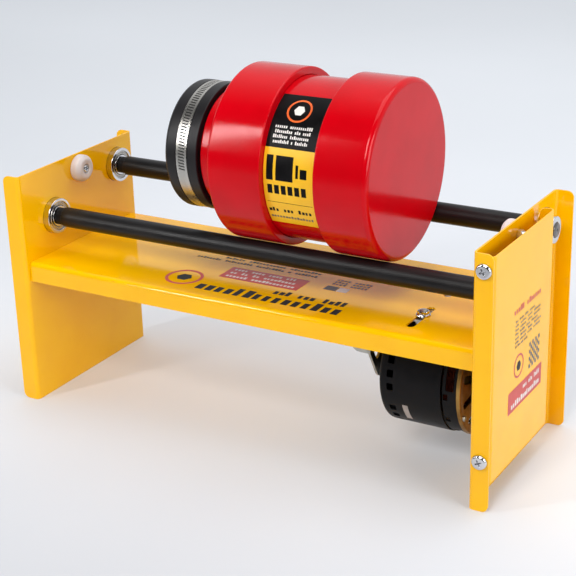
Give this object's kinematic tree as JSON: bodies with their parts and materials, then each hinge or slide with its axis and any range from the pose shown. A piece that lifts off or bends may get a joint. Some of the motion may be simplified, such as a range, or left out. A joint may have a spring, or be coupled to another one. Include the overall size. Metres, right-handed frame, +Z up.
{
  "type": "rotary rock tumbler",
  "caption": "Rotary rock tumbler: folded steel frame, two rubber-covered shafts driven by a belt and motor, and a capped round barrel that lies across the shafts.",
  "frame": {"origin": "on the surface it stands on, at the centre of the overall box", "axes": "+X along the shafts towards the belt drive, +Y towards the rear, where the idler shaft is, +Z up"},
  "size_m": [0.5764, 0.2146, 0.3951],
  "materials": {
    "frame_paint": "glossy yellow powder coat",
    "barrel_plastic": "glossy red",
    "rubber": "satin black",
    "chrome": "bright plated",
    "steel": "turned",
    "stainless": "rolled strip",
    "zinc_plate": "bright zinc plate",
    "nylon": "natural nylon",
    "motor_paint": "semi-gloss black",
    "yellow_zinc": "yellow zinc plate",
    "copper_wire": "varnished copper wire",
    "laminated_iron": "stacked sheet edges",
    "cast_iron": "cast and turned",
    "fan_plastic": "moulded black"
  },
  "bodies": {
    "frame": {"left_end_plate": "frame_paint", "right_end_plate": "frame_paint", "shelf": "frame_paint", "shelf_bolt_left_front": "steel", "shelf_bolt_left_rear": "steel", "shelf_bolt_right_front": "steel", "shelf_bolt_right_rear": "steel", "belt_guard": "frame_paint", "guard_screw_upper": "chrome", "guard_screw_lower": "chrome", "guard_nut_upper": "steel", "guard_nut_lower": "steel", "drive_bearing_left_outer_ring": "chrome", "drive_bearing_right_outer_ring": "chrome", "idler_bearing_left_outer_ring": "chrome", "idler_bearing_right_outer_ring": "chrome", "bumper_screw_left": "chrome", "bumper_screw_right": "chrome", "bumper_nut_left": "chrome", "bumper_nut_right": "chrome", "drive_belt": "rubber"},
    "barrel": {"barrel_pipe": "barrel_plastic", "barrel_end_cap": "barrel_plastic", "barrel_reducer": "barrel_plastic", "barrel_neck": "barrel_plastic"},
    "lid": {"barrel_lid": "rubber", "clamp_band": "stainless", "clamp_housing": "stainless"},
    "clamp_worm": {"clamp_screw": "steel"},
    "drive_roller": {"drive_shaft": "steel", "drive_sleeve": "rubber", "drive_bearing_left_inner_ring": "chrome", "drive_bearing_right_inner_ring": "chrome", "drive_collar_left": "chrome", "drive_pulley": "cast_iron"},
    "idler_roller": {"idler_shaft": "steel", "idler_sleeve": "rubber", "idler_bearing_left_inner_ring": "chrome", "idler_bearing_right_inner_ring": "chrome", "idler_collar_left": "chrome", "idler_collar_right": "chrome"},
    "left_bumper": {"bumper_left": "nylon"},
    "right_bumper": {"bumper_right": "nylon"},
    "motor": {"motor_can": "motor_paint", "cord_grommet": "rubber", "motor_front_shell": "motor_paint", "motor_end_bell": "yellow_zinc", "motor_core": "laminated_iron", "motor_winding_left": "copper_wire", "motor_winding_right": "copper_wire", "motor_cradle": "zinc_plate", "motor_ring_left": "rubber", "motor_ring_right": "rubber", "motor_bolt_front": "steel", "motor_bolt_rear": "steel", "motor_nut_front": "chrome", "motor_nut_rear": "chrome"},
    "rotor": {"motor_rotor": "steel", "motor_fan": "fan_plastic", "motor_pulley": "cast_iron"}
  },
  "joints": [
    {"name": "barrel_spin", "type": "hinge", "parent": "frame", "child": "barrel", "pos_m": [0, -0.00511, 0.30256], "axis": [1, 0, 0], "continuous": true},
    {"name": "drive_spin", "type": "hinge", "parent": "frame", "child": "drive_roller", "pos_m": [0, -0.04705, 0.2075], "axis": [1, 0, 0], "continuous": true},
    {"name": "idler_spin", "type": "hinge", "parent": "frame", "child": "idler_roller", "pos_m": [0, 0.07365, 0.2348], "axis": [1, 0, 0], "continuous": true},
    {"name": "motor_slide", "type": "slide", "parent": "frame", "child": "motor", "axis": [0, 1, 0], "range_m": [-0.012, 0.003], "deforming": ["drive_belt"]},
    {"name": "motor_spin", "type": "hinge", "parent": "motor", "child": "rotor", "pos_m": [0, 0.00395, 0.094], "axis": [1, 0, 0], "continuous": true},
    {"name": "lid_pull", "type": "slide", "parent": "barrel", "child": "lid", "axis": [-1, 0, 0], "range_m": [0, 0.08]},
    {"name": "clamp_screw_turn", "type": "hinge", "parent": "lid", "child": "clamp_worm", "pos_m": [-0.07145, 0.05538, 0.26117], "axis": [0, 0.5646, 0.8253], "continuous": true},
    {"name": "bumper_left_spin", "type": "hinge", "parent": "frame", "child": "left_bumper", "pos_m": [-0.261, 0.00195, 0.25], "axis": [1, 0, 0], "continuous": true},
    {"name": "bumper_right_spin", "type": "hinge", "parent": "frame", "child": "right_bumper", "pos_m": [0.261, 0.00195, 0.25], "axis": [1, 0, 0], "continuous": true}
  ],
  "couplings": [
    {"joint": "drive_spin", "follows": "barrel_spin", "ratio": -8.3333},
    {"joint": "idler_spin", "follows": "barrel_spin", "ratio": -8.3333},
    {"joint": "motor_spin", "follows": "barrel_spin", "ratio": -22.835}
  ]
}
